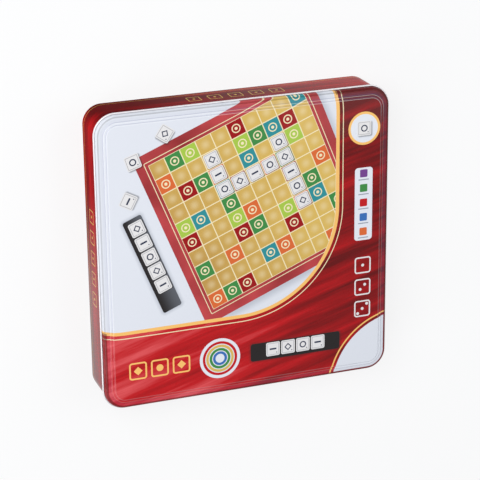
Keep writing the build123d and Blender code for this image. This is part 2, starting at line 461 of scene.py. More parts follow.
def printRack(look, u, v):
    # a dark rack beside the board, with a row of tiles on it
    rackX, rackY, halfWidth = boardPrint["rack"][:3]
    rack = look.box(u, v, boardPrint["rack"])
    look.stamp("grey", rack.fade(4, -1) * 0.55)
    ramp = look.mix((u - rackX).fade(-halfWidth, halfWidth) * 0.3, palette["black"], palette["grey"])
    look.stamp(ramp, inside(rack))
    pitch = lidPrint["tile"] * 2 + boardPrint["rackGap"]
    inU = u - rackX - 1
    number, inV = cellAt(v - rackY, pitch)
    within = (v - rackY).near(pitch / 2, pitch * boardPrint["rackTiles"] / 2)
    printTile(look, inU, inV, within, tileMark(look, inU, inV, number))


def printBottomBand(look):
    # framed marks, a disc of coloured rings and a dark bar with tiles on it
    x, y, radius = look.x, look.y, bandPrint["frameRadius"]
    frameXs, frameY, half = bandPrint["bottomFrames"]
    for count, frameX in enumerate(frameXs):
        edge = look.box(x, y, (frameX, frameY, half, half, radius))
        look.stamp("goldLine", line(edge, bandPrint["bottomLine"]))
        shape = (look.far(x - frameX, y - frameY) - bandPrint["spot"] if count % 2
                 else abs(x - frameX) + abs(y - frameY) - bandPrint["diamond"])
        look.stamp("goldLine", inside(shape))
    discX, discY, discRadius = bandPrint["disc"]
    reach = look.far(x - discX, y - discY)
    look.stamp("paleTin", inside(reach - discRadius))
    for step, colour in enumerate(bandPrint["discRings"]):
        ring = reach - discRadius + bandPrint["discInset"] + bandPrint["discPitch"] * step
        look.stamp(colour, line(ring, bandPrint["discLine"]))
    barX, barY = bandPrint["bar"][:2]
    bar = look.box(x, y, bandPrint["bar"])
    look.stamp("black", bar.fade(3, -1) * 0.5)
    look.stamp("black", inside(bar))
    pitch = lidPrint["tile"] * 2 + bandPrint["barGap"]
    number, inX = cellAt(x - barX, pitch)
    inY = y - barY - 1
    within = (x - barX).near(0, pitch * bandPrint["barTiles"] / 2)
    printTile(look, inX, inY, within, tileMark(look, inX, inY, number))


def printSideBand(look):
    # a medallion with one tile, a strip of coloured patches and three frames with pips
    x, y, radius = look.x, look.y, bandPrint["frameRadius"]
    medalX, medalY, medalRadius = bandPrint["medallion"]
    medal = look.far(x - medalX, y - medalY) - medalRadius
    look.stamp("paleTin", inside(medal))
    look.stamp("goldLine", line(medal, bandPrint["medalLine"]))
    printTile(look, x - medalX, y - medalY, 1, ringMark(look, x - medalX, y - medalY))
    stripX, stripY, _, stripHalf, _ = bandPrint["strip"]
    look.stamp("paleTin", inside(look.box(x, y, bandPrint["strip"])))
    patchUp, patchHalf, patchRadius = bandPrint["patch"]
    lineUp, *lineShape = bandPrint["underline"]
    colours = bandPrint["stripColours"]
    for count, colour in enumerate(colours):
        spotY = stripY + stripHalf * (1 - (2 * count + 1) / len(colours))
        patch = look.box(x, y, (stripX, spotY + patchUp, patchHalf, patchHalf, patchRadius))
        look.stamp(colour, inside(patch))
        look.stamp("grey", inside(look.box(x, y, (stripX, spotY + lineUp, *lineShape))))
    frameX, frameYs, half = bandPrint["sideFrames"]
    for count, frameY in enumerate(frameYs):
        edge = look.box(x, y, (frameX, frameY, half, half, radius))
        look.stamp("tile", line(edge, bandPrint["sideLine"]))
        for pip in range(count + 1):
            shift = (pip - count / 2) * bandPrint["pipStep"]
            spot = look.far(x - frameX - shift, y - frameY - shift)
            look.stamp("tile", inside(spot - bandPrint["pip"]))


def shadeSteps(look, depth, field):
    # painted shade and highlight: a cooler ledge with a dark outer edge; each embossed step has a painted
    # highlight on its crest and painted shade at its foot
    def strip(start, full, fading, end, strength):
        return depth.fade(start, full) * depth.fade(end, fading) * strength

    look.stamp("cool", strip(*stepShade["ledge"]))
    onStep = inside(field).atLeast(look.y.fade(100, 125)) * stepShade["moreOnPale"] + stepShade["onRed"]
    first, second = lidShape["ledge"], lidShape["ledge"] + lidShape["run"] + lidShape["tread"]
    for foot in (first, second):
        half, soft = stepShade["foot"]
        look.stamp("cool", inside(abs(depth - foot) - half, soft) * onStep)
        half, soft = stepShade["crest"]
        look.stamp("white", inside(abs(depth - foot - lidShape["run"]) - half, soft) * onStep)
    # painted shade: deep red over the outermost few millimetres of everything outside the pale field, then a
    # dark line round the lid's rounded edge
    start, end, strength = stepShade["border"]
    look.stamp("deepRed", (1 - inside(field)) * depth.fade(start, end) * strength)
    look.stamp("black", strip(*stepShade["rim"]))


def makeLidFinish():
    look = Look("lithographed_lid")
    x, y = look.x, look.y
    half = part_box("tin_lid")[1].x / mm - tin["curl"]
    depth = 0 - look.box(x, y, (0, 0, half, half, lidShape["cornerRadius"]))  # in from the skirt
    # the red is darker towards +x and +y
    look.paint = redBands(look, (16, 1, 1), 16, x * 0.0009 + y * 0.0006 + 0.06)
    printBottomBand(look)
    printSideBand(look)
    field = look.box(x, y, lidPrint["paleField"])
    pale = look.mix(look.noise(9, detail=2) * 0.12, palette["paleTin"], palette["grey"])
    look.stamp(pale, inside(field))
    printBoard(look, field)
    for (tileX, tileY, degrees), mark in zip(lidPrint["looseTiles"], (ringMark, diamondMark, barMark)):
        u, v = turned(x, y, (tileX, tileY), degrees)
        printTile(look, u, v, inside(field), mark(look, u, v))
    look.stamp("goldLine", line(field, lidPrint["edgeLine"]))
    look.stamp("cream", line(field - lidPrint["threadGap"], lidPrint["threadLine"]))
    cornerX, cornerY, cornerRadius = lidPrint["cornerDisc"]
    corner = look.far(x - cornerX, y - cornerY) - cornerRadius
    look.stamp("goldLine", line(corner - lidPrint["cornerGap"], lidPrint["cornerLine"]))
    # the pale corner stops short of the skirt; the red border left there is painted shade along the lid's
    # rounded edge
    look.stamp(pale, inside(corner) * depth.fade(*lidPrint["cornerBorder"]))
    shadeSteps(look, depth, field)
    return look.surface(Roughness=look.noise(260, detail=1) * 0.04 + 0.26, Specular_IOR_Level=0.06,
                        Coat_Weight=0.22, Coat_Roughness=0.05)


# the walls' print; painted shade and gloss change along each wall: first the walls across x, then those
# across y
wallPrint = {
    "pitch": 19, "half": 5.6, "radius": 1, "line": 0.7, "dot": 1.2, "squares": 5, "height": 20,
    "threads": (36.5, 6.5), "threadLine": 0.5, "cornerBlend": 16,
    "shade": ((0.13, 0.0008), (0.19, 0.0012)), "shadeUp": 0.001,
    "gloss": ((70, -60, 0.64, 0.06), (-110, 70, 0.3, 0.06)),
}


def makeWallFinish():
    look = Look("lithographed_wall")
    side = abs(look.x).maths("GREATER_THAN", abs(look.y))
    along = side * look.y + (1 - side) * look.x
    blend = wallPrint["cornerBlend"]
    sideways = (abs(look.x) - abs(look.y)).fade(-blend, blend)

    def onWalls(values, rule):
        acrossX, acrossY = wallPrint[values]
        return sideways * rule(look.y, *acrossX) + (1 - sideways) * rule(look.x, *acrossY)

    # painted shade: the red darkens towards -y on the walls at +x and -x, towards -x on the walls at +y and
    # -y, and towards the bottom
    shade = onWalls("shade", lambda place, level, fall: level - place * fall)
    gloss = onWalls("gloss", lambda place, start, end, rise, least: place.fade(start, end) * rise + least)
    look.paint = redBands(look, (14, 14, 1), 0, shade - look.z * wallPrint["shadeUp"])
    pitch, half = wallPrint["pitch"], wallPrint["half"]
    count, inU = cellAt(along + pitch / 2, pitch)
    inV = look.z - wallPrint["height"]
    shown = count.near(0, wallPrint["squares"] / 2)
    square = look.box(inU, inV, (0, 0, half, half, wallPrint["radius"]))
    look.stamp("gold", shown * line(square, wallPrint["line"]))
    look.stamp("gold", shown * inside(look.far(inU, inV) - wallPrint["dot"]))
    for height in wallPrint["threads"]:
        look.stamp("gold", line(look.z - height, wallPrint["threadLine"]) * 0.8)
    return look.surface(Roughness=look.noise(260, detail=1) * 0.08 + 0.3, Specular_IOR_Level=0.0,
                        Coat_Weight=gloss, Coat_Roughness=0.08)


def makeBareTin(name, colour, metallic):
    look = Look(name)
    grain = look.noise(900, (12, 1, 1), detail=4)
    look.paint = look.mix(grain * 0.5, colour, tuple(part * 0.82 for part in colour))
    return look.surface(bump=grain, depth=0.00001, Metallic=metallic, Roughness=grain * 0.2 + 0.26)


lidFinish = makeLidFinish()
wallFinish = makeWallFinish()
bareTin = makeBareTin("bare_tinplate", rgb("dcdad6"), 0.55)
curlTin = makeBareTin("rolled_white_edge", rgb("ece8ea"), 0.25)
print("finishes made")


def rolledEdge(out, height, start):
    # the rolled edge, from its tip to where it meets the wall
    radius = (tin["curl"] - tin["sheet"]) / 2
    slit = math.degrees(math.acos(1 - (tin["sheet"] + tin["curlSlit"]) / radius))
    return arcPoints((out * radius, height), radius, start, 360 - slit, tin["curlSteps"])[::-1]


def makeLid():
    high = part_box("tin_lid")[1] / mm
    sheet, shape = tin["sheet"], lidShape
    skirt = high.x - tin["curl"] + sheet / 2
    top = high.z - sheet / 2
    ledge = top - 2 * shape["rise"]
    bottom = ledge + sheet / 2 - shape["skirt"]
    first = shape["ledge"] + shape["run"]
    second = first + shape["tread"]
    third = second + shape["run"]
    section = rolledEdge(1, bottom, 180) + roundedLine([
        (0, bottom), (0, ledge), (-shape["ledge"], ledge), (-first, ledge + shape["rise"]),
        (-second, ledge + shape["rise"]), (-third, top), (-third - tin["stub"], top)],
        [shape["edge"] - sheet / 2] + 4 * [tin["bend"]])[1:]
    mesh = formedSheet("lid_shell", section, sheet, skirt, shape["cornerRadius"] - sheet / 2,
                       shape["printed"], [lidFinish, curlTin, bareTin])
    addPiece("lid_shell", mesh, "lid", ["tin_lid"])


def makeBase():
    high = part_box("tin_base")[1] / mm
    sheet, shape = tin["sheet"], baseShape
    rim = high.z - tin["curl"] / 2
    foot = shape["edge"] + shape["foot"]
    panel = sheet / 2 + shape["rise"]
    section = rolledEdge(-1, rim, 0) + roundedLine([
        (0, rim), (0, sheet / 2), (-foot, sheet / 2), (-foot - shape["run"], panel),
        (-foot - shape["run"] - tin["stub"], panel)],
        [shape["edge"] - sheet / 2, tin["bend"], tin["bend"]])[1:]
    mesh = formedSheet("base_shell", section, -sheet, high.x - sheet / 2, shape["cornerRadius"] - sheet / 2,
                       shape["printed"], [wallFinish, bareTin, bareTin])
    addPiece("base_shell", mesh, "base", ["tin_base"])


makeLid()
makeBase()
print("tin made")


def makePlastic(name, colour, shade, grainScale, grainDepth, roughness):
    # moulded plastic: a faint cloudiness in the colour and a fine grain
    look = Look(name)
    cloud = look.noise(14, detail=3)
    grain = look.noise(grainScale, detail=4, rough=0.6)
    look.paint = look.mix(cloud.fade(0.25, 0.75) * 0.5, colour, shade)
    return look.surface(bump=grain, depth=grainDepth, Roughness=grain * 0.18 + roughness)


trayPlastic = makePlastic("tray_plastic_sheet", rgb("e6e3dc"), rgb("d6d2c9"), 420, 0.00003, 0.34)
rackPlastic = makePlastic("rack_black_plastic", rgb("1f1c1d"), rgb("2b2728"), 1500, 0.00004, 0.36)
tilePlastic = makePlastic("tile_ivory_plastic", rgb("ece8e1"), rgb("ddd8cf"), 1100, 0.00003, 0.28)
letterInk = makePlastic("tile_letter_ink", rgb("20232f"), rgb("2b3045"), 900, 0.00001, 0.45)


def dressNode(name, material):
    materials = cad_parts[name].data.materials
    materials.clear()
    materials.append(material)


dressNode("insert_tray", trayPlastic)
for number in range(1, 5):
    dressNode(f"tile_rack_{number}", rackPlastic)
print("tray and racks dressed")


# Geometry Nodes trees are built with named inputs; their values are set by identifier
class Tree(Graph):
    def __init__(self, name, sizes):
        tree = bpy.data.node_groups.new(name, "GeometryNodeTree")
        super().__init__(tree)
        tree.interface.new_socket("Geometry", in_out="OUTPUT", socket_type="NodeSocketGeometry")
        tree.interface.new_socket("Geometry", in_out="INPUT", socket_type="NodeSocketGeometry")
        self.values = {}
        kinds = {float: "NodeSocketFloat", int: "NodeSocketInt", bpy.types.Material: "NodeSocketMaterial"}
        for label, value in sizes.items():
            made = tree.interface.new_socket(label, in_out="INPUT", socket_type=kinds[type(value)])
            self.values[made.identifier] = value
        self.start = tree.nodes.new("NodeGroupInput")
        self.end = tree.nodes.new("NodeGroupOutput")

    def __getitem__(self, label):
        return Wire(self, self.start.outputs[label])

    def vector(self, *parts):
        return self.node("ShaderNodeCombineXYZ", inputs=dict(enumerate(parts)))

    def grow(self, geometry, mesh, name):
        # realizes the instances, runs the tree on mesh and returns the plain result
        solid = self.node("GeometryNodeRealizeInstances", inputs={0: geometry})
        painted = self.node("GeometryNodeSetMaterial", inputs={0: solid, "Material": self["Material"]})
        self.tree.links.new(painted.socket, self.end.inputs[0])
        holder = addObject(name + "_seed", mesh)
        modifier = holder.modifiers.new(name, "NODES")
        modifier.node_group = self.tree
        for identifier, value in self.values.items():
            modifier[identifier] = value
        holder.update_tag()
        evaluated = holder.evaluated_get(bpy.context.evaluated_depsgraph_get())
        made = bpy.data.meshes.new_from_object(evaluated)
        made.name = name
        holder.modifiers.remove(modifier)
        bpy.data.objects.remove(holder)
        return made


tiles = {
    "size": 20.0, "thickness": 5.0, "corner": 1.6, "edge": 0.5, "cornerSteps": 4, "edgeSteps": 3,
    "across": 5, "layers": 4, "turn": 0.9, "seed": 11,
    "letter": (12.5, (-0.8, 0.6)), "value": (4.2, (6.0, -6.2)),  # height and place
    "inkProud": 0.04, "inkSink": 0.06,
    "letters": "AAEEIOOUSRNLTDMPGBCVFHYZQ",
    "values": {1: "AEIOUSRNLT", 2: "DG", 3: "MPBC", 4: "FHVY", 5: "Q", 10: "Z"},
}


def makeTileShape():
    # one tile standing on the origin, with rounded corners and edges
    half, corner, edge = tiles["size"] / 2, tiles["corner"], tiles["edge"]
    section = []
    for base, turn in ((edge, -90), (tiles["thickness"] - edge, 0)):
        for step in range(tiles["edgeSteps"] + 1):
            angle = math.radians(turn + 90 * step / tiles["edgeSteps"])
            section.append((edge * math.cos(angle) - edge, base + edge * math.sin(angle)))
    rings = [squareRing(out, height, half, corner, tiles["cornerSteps"]) for out, height in section]
    return makeMesh("tile_shape", rings, True, True, [0] * (len(rings) - 1), [tilePlastic])


def makeTiles():
    # returns the middle of each stack's top
    spans = range(tiles["across"])
    stacks = [f"tile_stack_{row + 1}_{column + 1}" for row in spans for column in spans]
    low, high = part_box("tile_stack_5_1")[0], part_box("tile_stack_1_5")[1]
    size = tiles["size"] * mm
    pitch = (high.x - low.x - size) / (tiles["across"] - 1)
    tree = Tree("tileStacks", {
        "Tiles Across": tiles["across"], "Layers": tiles["layers"], "Pitch": pitch,
        "Layer Pitch": (high.z - low.z - tiles["thickness"] * mm) / (tiles["layers"] - 1),
        "Middle X": (low.x + high.x) / 2, "Middle Y": (low.y + high.y) / 2, "Bottom": low.z,
        "Turn": math.radians(tiles["turn"]), "Seed": tiles["seed"], "Material": tilePlastic})
    span = (tree["Tiles Across"] - 1) * tree["Pitch"]
    grid = tree.node("GeometryNodeMeshGrid", inputs={
        0: span, 1: span, 2: tree["Tiles Across"], 3: tree["Tiles Across"]})
    placed = tree.node("GeometryNodeTransform", inputs={
        "Geometry": grid, "Translation": tree.vector(
            tree["Middle X"], tree["Middle Y"], tree["Bottom"])})
    column = tree.node("GeometryNodeMeshLine", {"mode": "OFFSET"}, {
        "Count": tree["Layers"], "Offset": tree.vector(0.0, 0.0, tree["Layer Pitch"])})
    columns = tree.node("GeometryNodeInstanceOnPoints", inputs={"Points": placed, "Instance": column})
    spots = tree.node("GeometryNodeRealizeInstances", inputs={0: columns})
    turn = tree.node("FunctionNodeRandomValue", {"data_type": "FLOAT"}, {
        2: 0 - tree["Turn"], 3: tree["Turn"], "Seed": tree["Seed"]}, output=1)
    stacked = tree.node("GeometryNodeInstanceOnPoints", inputs={
        "Points": spots, "Instance": tree["Geometry"], "Rotation": tree.vector(0.0, 0.0, turn)})
    mesh = tree.grow(stacked, makeTileShape(), "letter_tiles")
    addPiece("letter_tiles", mesh, "tiles", stacks)
    return [Vector((low.x + size / 2 + pitch * column, low.y + size / 2 + pitch * row, high.z))
            for row in spans for column in spans]


def makeInkMesh(text, height, place, turn, joined):
    # one printed character as a thin plate, added to the joined mesh
    curve = bpy.data.curves.new("character", "FONT")
    curve.body, curve.size, curve.align_x, curve.align_y = text, height * mm, "CENTER", "CENTER"
    curve.resolution_u = 3
    curve.extrude = (tiles["inkProud"] + tiles["inkSink"]) / 2 * mm
    holder = addObject("character", curve)
    mesh = bpy.data.meshes.new_from_object(holder.evaluated_get(bpy.context.evaluated_depsgraph_get()))
    mesh.transform(Matrix.Translation(place) @ Matrix.Rotation(turn, 4, "Z"))
    joined.from_mesh(mesh)
    bpy.data.objects.remove(holder)
    bpy.data.meshes.remove(mesh)


def makeLetters(tops):
    draw = random.Random(tiles["seed"])
    letters = list(tiles["letters"])
    draw.shuffle(letters)
    joined = bmesh.new()
    depth = (tiles["inkProud"] - tiles["inkSink"]) / 2 * mm
    for top, letter in zip(tops, letters):
        turn = math.radians(draw.choice((0, 90, 180, 270)))
        spin = Matrix.Rotation(turn, 4, "Z")
        value = next(str(worth) for worth, group in tiles["values"].items() if letter in group)
        for text, height, shift in ((letter, *tiles["letter"]), (value, *tiles["value"])):
            place = top + spin @ (Vector((*shift, 0)) * mm) + Vector((0, 0, depth))
            makeInkMesh(text, height, place, turn, joined)
    bmesh.ops.remove_doubles(joined, verts=joined.verts, dist=1e-7)
    mesh = bpy.data.meshes.new("tile_letters")
    joined.to_mesh(mesh)
    joined.free()
    mesh.materials.append(letterInk)
    addPiece("tile_letters", mesh, "tiles")


makeLetters(makeTiles())
print("tiles made")


# the mat is one soft sheet folded twice: across its middle, then in half again
mat = {
    "thickness": 2.3, "gap": 0.3, "flatSteps": 22, "bendSteps": 14, "edgeSlack": 0.5, "edgeRound": 0.75,
    "edgeLoops": (0.6, 0.0, -0.6), "edgeShare": 0.9, "cornerRadius": 9.0,
    "ripple": 0.12, "calm": (6, 4), "rippleFade": 20, "waves": 4, "waveLength": (8, 26), "seed": 5,
    "weave": 0.9,
    "cell": 22.0, "cells": 15, "cellLine": 1.1, "ring": 5.4, "ringLine": 1.2, "dot": 2,
    "threads": (168.5, 173.0), "threadLine": 0.7,
    "stitchPitch": 3.4, "stitchWidth": 0.42, "stitchReach": 3.0, "stitchSink": 0.08, "stitchInset": 0.1,
    "stitchBulge": (1.1, 1.05),
}


def matSizes():
    low, high = inMm(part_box("play_mat"))
    pitch = mat["thickness"] + mat["gap"]
    middle = (low + high) / 2
    half = (high.x - low.x) / 2
    foldX = half - 1.5 * pitch - mat["thickness"] / 2
    foldY = half - 0.5 * pitch - mat["thickness"] / 2
    reach = half - mat["edgeSlack"]
    width = foldX + reach + math.pi * pitch / 2
    length = foldY + reach + math.pi * pitch / 4
    return middle, pitch, foldX, foldY, width, length


foldSizes = matSizes()


def foldPoint(s, t, rise):
    # where a point of the flat mat lies once folded: s and t from its middle, rise off its middle surface
    middle, pitch, foldX, foldY = foldSizes[:4]
    radius = pitch / 2
    if abs(t) < math.pi * radius / 2:
        y = foldY + (radius + rise) * math.cos(t / radius)
        offset = (radius + rise) * math.sin(t / radius)
    else:
        y = foldY - (abs(t) - math.pi * radius / 2)
        offset = math.copysign(radius + rise, t)
    if abs(s) < math.pi * pitch / 2:
        x = foldX + (pitch - offset) * math.cos(s / pitch)
        z = (pitch - offset) * math.sin(s / pitch)
    else:
        x = foldX - (abs(s) - math.pi * pitch / 2)
        z = math.copysign(pitch - offset, s)
    return middle + Vector((x, y, z))


def matStops(reach, bend):
    # positions across the flat mat, close together over the fold
    flat = [bend + (reach - bend) * step / mat["flatSteps"] for step in range(1, mat["flatSteps"] + 1)]
    fold = [bend * (2 * step / mat["bendSteps"] - 1) for step in range(mat["bendSteps"] + 1)]
    return [-stop for stop in flat[::-1]] + fold + flat


def makeMatFinish():
    look = Look("mat_cloth")
    look.place = look.node("ShaderNodeUVMap", {"uv_map": "flat"})
    u, v, _ = look.split(look.place, 1000)
    overU, overV = (axis.wrap(mat["weave"]) - mat["weave"] / 2 for axis in (u, v))
    weave = abs(overU).atLeast(abs(overV)).fade(0.2, 0.45)
    half = mat["cell"] * mat["cells"] / 2
    (column, inU), (row, inV) = cellAt(u + half, mat["cell"]), cellAt(v + half, mat["cell"])
    cloud = look.noise(9, detail=3)
    look.paint = look.mix(cloud.fade(0.2, 0.8), palette["gold"], palette["deepGold"])
    across, along = abs(column - mat["cells"] // 2), abs(row - mat["cells"] // 2)
    printCells(look, (
        (abs(across - along).below(0.5) * across.wrap(3).near(1), "leaf"),
        ((across + along).wrap(7).near(0), "orange"),
        (across.near(7) * along.wrap(7).near(0), "brightRed"),
        (along.near(7) * across.wrap(7).near(0), "brightRed"),
        (across.near(4) * along.near(2), "teal"),
        (across.near(2) * along.near(4), "teal")), inU, inV, mat)
    rim = look.mix(look.noise(36, (6, 1, 1), detail=3).fade(0.2, 0.8), palette["red"], palette["deepRed"])
    look.paint = look.mix(inside(look.box(u, v, (0, 0, half, half, 0.4))), rim, look.paint)
    for reach in mat["threads"]:
        look.stamp("cream", line(look.box(u, v, (0, 0, reach, reach, 4)), mat["threadLine"]))
    rubber = look.mix(look.noise(200, detail=2), rgb("1b191a"), rgb("2c2829"))
    # the print is on the outer face only; the other face and the cut edge are black foam rubber
    printed = look.node("ShaderNodeAttribute", {"attribute_name": "printed"}, output="Fac")
    look.paint = look.mix(printed.fade(0.6, 0.95), rubber, look.paint)
    look.stamp("black", weave * printed * 0.16)
    bump = (1 - weave) * 0.6 + look.noise(700, detail=3) * 0.5
    return look.surface(bump=bump, depth=0.00012, Roughness=cloud * 0.1 + 0.72, Sheen_Weight=0.25,
                        Sheen_Roughness=0.5)


def makeMat():
    _, pitch, _, _, width, length = foldSizes
    across, along = matStops(width, math.pi * pitch / 2), matStops(length, math.pi * pitch / 4)
    draw, span = random.Random(mat["seed"]), mat["waveLength"]
    waves = [(draw.uniform(*span), draw.uniform(*span), draw.uniform(0, 6.28)) for _ in range(mat["waves"])]
    half, cut = mat["thickness"] / 2, mat["edgeRound"]
    points, uvs, prints = [], [], []
    columns, rows = len(across), len(along)

    def ripple(s, t):
        # slow waves that die out towards the folds
        flat = 1
        for away, calm in zip((s, t), mat["calm"]):
            flat *= min(1, max(0, (abs(away) - calm) / mat["rippleFade"]))
        return flat * mat["ripple"] * sum(math.sin(s / a + t / b + c) for a, b, c in waves) / len(waves)

    def put(s, t, rise, printed):
        point = foldPoint(s, t, rise)
        point.z += ripple(s, t)
        points.append(point * mm)
        uvs.append((s * mm, t * mm))
        prints.append(printed)
        return len(points) - 1

    def inset(value, reach, amount):
        return math.copysign(min(abs(value), reach - amount), value)

    def rounded(s, t, amount):
        # keeps the flat mat's corners round
        reachS, reachT = width - amount, length - amount
        corner = mat["cornerRadius"]
        overS, overT = abs(s) - (reachS - corner), abs(t) - (reachT - corner)
        s, t = inset(s, width, amount), inset(t, length, amount)
        if overS > 0 and overT > 0:
            overS, overT = min(overS, corner), min(overT, corner)
            scale = max(overS, overT) / math.hypot(overS, overT)
            s = math.copysign(reachS - corner + overS * scale, s)
            t = math.copysign(reachT - corner + overT * scale, t)
        return s, t

    front = [[put(*rounded(s, t, cut), half, 1.0) for t in along] for s in across]
    back = [[put(*rounded(s, t, cut), -half, 0.0) for t in along] for s in across]
    rim = ([(column, 0) for column in range(columns)] + [(columns - 1, row) for row in range(1, rows)]
           + [(column, rows - 1) for column in range(columns - 2, -1, -1)]
           + [(0, row) for row in range(rows - 2, 0, -1)])
    # loops round the cut edge, from the printed face over the rounded edge to the back
    loops = [[front[column][row] for column, row in rim]]
    for share in mat["edgeLoops"]:
        amount = cut * (1 - math.sqrt(1 - share ** 2)) * mat["edgeShare"]
        flatRim = (rounded(across[column], along[row], amount) for column, row in rim)
        loops.append([put(s, t, half * share, 0.3) for s, t in flatRim])
    loops.append([back[column][row] for column, row in rim])

    faces = []
    for column in range(columns - 1):
        for row in range(rows - 1):
            corners = ((column, row), (column, row + 1), (column + 1, row + 1), (column + 1, row))
            faces.append([front[a][b] for a, b in corners])
            faces.append([back[a][b] for a, b in (corners[0], *corners[:0:-1])])
    for low, high in zip(loops, loops[1:]):
        for at in range(len(rim)):
            after = (at + 1) % len(rim)
            faces.append((low[at], low[after], high[after], high[at]))
    mesh = bpy.data.meshes.new("play_mat_cloth")
    mesh.from_pydata(points, [], faces)
    mesh.polygons.foreach_set("use_smooth", [True] * len(faces))
    layer = mesh.uv_layers.new(name="flat")
    for loop in mesh.loops:
        layer.data[loop.index].uv = uvs[loop.vertex_index]
    printed = mesh.attributes.new("printed", "FLOAT", "POINT")
    printed.data.foreach_set("value", prints)
    mesh.materials.append(makeMatFinish())
    mesh.update()
    piece = addPiece("play_mat_cloth", mesh, "mat", ["play_mat"])
    hem = [(inset(across[column], width, 0), inset(along[row], length, 0)) for column, row in rim]
    stitches = makeMatStitches(hem, rounded)
    2 * width * mm
    2 * length * mm


def makeMatStitches(rim, rounded):
    # overlock stitches round the cut edge, each a small thread from one face round to the other
    walk = []
    for (s, t), (nextS, nextT) in zip(rim, rim[1:] + rim[:1]):
        walk.append((s, t, nextS - s, nextT - t))
    spots, outwards, normals, left, inset = [], [], [], 0.0, mat["stitchInset"]
    for s, t, overS, overT in walk:
        run = math.hypot(overS, overT)
        while left < run:
            share = left / run
            flatS, flatT = rounded(s + overS * share, t + overT * share, inset)
            inS, inT = rounded(s + overS * share, t + overT * share, inset + 1)
            spot = foldPoint(flatS, flatT, 0)
            spots.append(spot * mm)
            outwards.append((spot - foldPoint(inS, inT, 0)).normalized())
            normals.append((foldPoint(flatS, flatT, 0.5) - foldPoint(flatS, flatT, -0.5)).normalized())
            left += mat["stitchPitch"]
        left -= run
    mesh = bpy.data.meshes.new("stitch_spots")
    mesh.from_pydata(spots, [], [])
    for name, values in (("outward", outwards), ("normal", normals)):
        attribute = mesh.attributes.new(name, "FLOAT_VECTOR", "POINT")
        attribute.data.foreach_set("vector", [part for value in values for part in value])
    thread = makePlastic("mat_edge_thread", rgb("a3242b"), rgb("7c1316"), 2600, 0.00004, 0.6)
    half = (mat["thickness"] / 2 - mat["stitchSink"]) * mm
    tree = Tree("edgeStitches", {
        "Thread Radius": mat["stitchWidth"] / 2 * mm, "Reach": mat["stitchReach"] * mm,
        "Half Thickness": half, "Material": thread})
    reach, rise = tree["Reach"], tree["Half Thickness"]
    out, up = mat["stitchBulge"]
    loop = tree.node("GeometryNodeCurvePrimitiveBezierSegment", inputs={
        "Resolution": 9,
        "Start": tree.vector(0 - reach, 0.0, 0 - rise), "End": tree.vector(0 - reach, 0.0, rise),
        "Start Handle": tree.vector(rise * out, 0.0, 0 - rise * up),
        "End Handle": tree.vector(rise * out, 0.0, rise * up)})
    section = tree.node("GeometryNodeCurvePrimitiveCircle", inputs={
        "Resolution": 5, "Radius": tree["Thread Radius"]})
    stitch = tree.node("GeometryNodeCurveToMesh", inputs={
        "Curve": loop, "Profile Curve": section, "Fill Caps": True})
    outward, normal = (
        tree.node("GeometryNodeInputNamedAttribute", {"data_type": "FLOAT_VECTOR"}, {"Name": name})
        for name in ("outward", "normal"))
    facing = tree.node("FunctionNodeAxesToRotation", {"primary_axis": "X", "secondary_axis": "Z"}, {
        0: outward, 1: normal})
    sewn = tree.node("GeometryNodeInstanceOnPoints", inputs={
        "Points": tree["Geometry"], "Instance": stitch, "Rotation": facing})
    return addPiece("play_mat_stitches", tree.grow(sewn, mesh, "play_mat_stitches"), "mat")


makeMat()
print("mat made")


booklet = {
    "leaves": 5, "leaf": 0.15, "creep": 0.13, "spread": 0.25, "spineSteps": 16, "seed": 3,
    "staplesAt": (-55, 55), "stapleLength": 11, "stapleDepth": 1.1, "wireRadius": 0.22, "wireBend": 0.35,
    "wireSides": 8,
    # the cover's print: a red head and foot, a small board, and grey lines
    "head": (52.9, 53.1), "headLine": (50.6, 1.2), "footBelow": 82,
    "cell": 16, "square": (0, 0, 7.2, 7.2, 1), "ring": (3, 1), "boardBelow": 4, "boardHalf": (48, 32),
    "lines": (-58, -63, -68), "lineShape": (34, 0.7, 0.3),
}


def makePaper(name, cover):
    look = Look(name)
    low, high = inMm(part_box("rules_booklet"))
    middle = (low + high) / 2
    x, y = look.x - middle.x, look.y - middle.y
    fibre = look.noise(900, detail=4, rough=0.7)
    look.paint = look.mix(fibre * 0.25, rgb("f4f2ec"), rgb("dcd8cf"))
    if cover:
        red = redBands(look, (16, 1, 1), 0, 0.02)
        look.stamp(red, y.fade(*booklet["head"]))
        look.stamp(red, inside(y + booklet["footBelow"]))
        height, width = booklet["headLine"]
        look.stamp("gold", line(y - height, width))
        fromBoard = y + booklet["boardBelow"]
        (column, u), (row, v) = cellAt(x, booklet["cell"]), cellAt(fromBoard, booklet["cell"])
        halfWidth, halfHeight = booklet["boardHalf"]
        inBoard = x.near(0, halfWidth) * fromBoard.near(0, halfHeight)
        colour = look.mix((column + row).wrap(3).near(0), palette["gold"], palette["leaf"])
        colour = look.mix((column - row * 2).wrap(5).near(1), colour, palette["brightRed"])
        look.stamp(colour, inBoard * inside(look.box(u, v, booklet["square"])))
        radius, width = booklet["ring"]
        look.stamp("cream", inBoard * line(look.far(u, v) - radius, width))
        for height in booklet["lines"]:
            look.stamp("grey", inside(look.box(x, y, (0, height, *booklet["lineShape"]))))
    return look.surface(bump=fibre, depth=0.00002, Roughness=fibre * 0.12 + 0.48)


